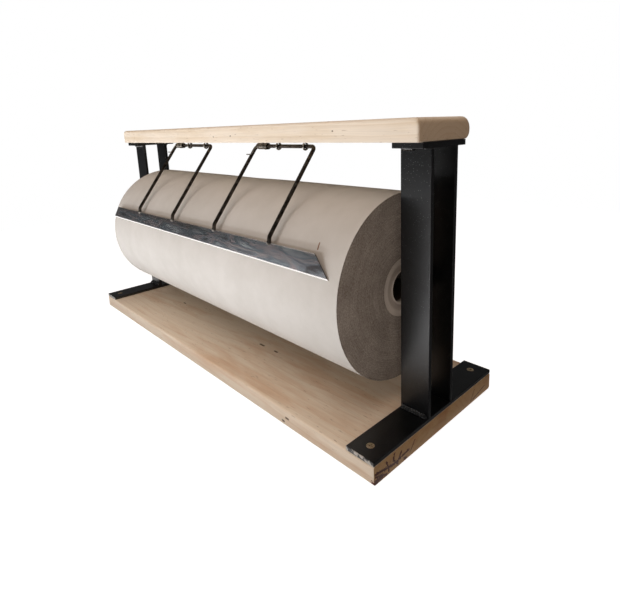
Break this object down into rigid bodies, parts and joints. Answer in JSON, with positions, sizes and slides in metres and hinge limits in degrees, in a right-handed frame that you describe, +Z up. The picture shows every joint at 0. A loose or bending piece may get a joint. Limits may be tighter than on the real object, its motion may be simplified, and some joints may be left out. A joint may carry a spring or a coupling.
{
  "type": "gift wrap paper cutter",
  "caption": "Counter stand that carries one large roll of wrapping paper on a rod, with a spring-pressed tear blade on two wire bails.",
  "frame": {"origin": "middle of the base plank's underside, on the surface that the stand rests on", "axes": "+X along the roll from the left to the right end frame, +Y from the front, where the paper is torn, to the back, +Z up"},
  "size_m": [0.72, 0.24, 0.357],
  "materials": {
    "pine": "planed pine, sanded and left bare or thinly oiled",
    "painted_frame": "black gloss enamel sprayed on flat bar, with light orange peel",
    "plated_screws": "yellow zinc plated steel",
    "eye_wire": "dull steel wire",
    "spring_wire": "drawn spring wire, lightly oiled",
    "bail_wire": "dark mill finish steel wire",
    "blade_steel": "bare cold rolled strip with a ground lower edge",
    "weld_metal": "bare weld metal",
    "rod_steel": "bright drawn bar, dulled",
    "core_board": "spiral wound grey board",
    "wrapping_paper": "smooth uncoated wrapping paper, wound"
  },
  "bodies": {
    "stand": {"base_plank": "pine", "top_plank": "pine", "left_foot": "painted_frame", "right_foot": "painted_frame", "left_front_upright": "painted_frame", "left_rear_upright": "painted_frame", "right_front_upright": "painted_frame", "right_rear_upright": "painted_frame", "left_top_plate": "painted_frame", "right_top_plate": "painted_frame", "left_rod_cradle": "painted_frame", "right_rod_cradle": "painted_frame", "left_frame_welds": "painted_frame", "right_frame_welds": "painted_frame", "foot_screws": "plated_screws", "plate_screws": "plated_screws", "bail_eyes": "eye_wire", "left_spring": "spring_wire", "right_spring": "spring_wire"},
    "roll": {"paper_roll": "wrapping_paper", "roll_core": "core_board"},
    "rod": {"support_rod": "rod_steel"},
    "blade_gate": {"left_bail": "bail_wire", "right_bail": "bail_wire", "cutting_blade": "blade_steel", "blade_welds": "weld_metal"}
  },
  "joints": [
    {"name": "blade_swing", "type": "hinge", "parent": "stand", "child": "blade_gate", "pos_m": [0, -0.0261, 0.3276], "axis": [-1, 0, 0], "range_deg": [0, 50], "stiffness_Nm_per_rad": 0.6, "springref_deg": -68.75, "deforming": ["left_spring", "right_spring"]},
    {"name": "roll_spin", "type": "hinge", "parent": "stand", "child": "roll", "pos_m": [0, 0, 0.1643], "axis": [1, 0, 0], "continuous": true},
    {"name": "rod_withdraw", "type": "slide", "parent": "stand", "child": "rod", "axis": [1, 0, 0], "range_m": [0, 0.68]}
  ]
}
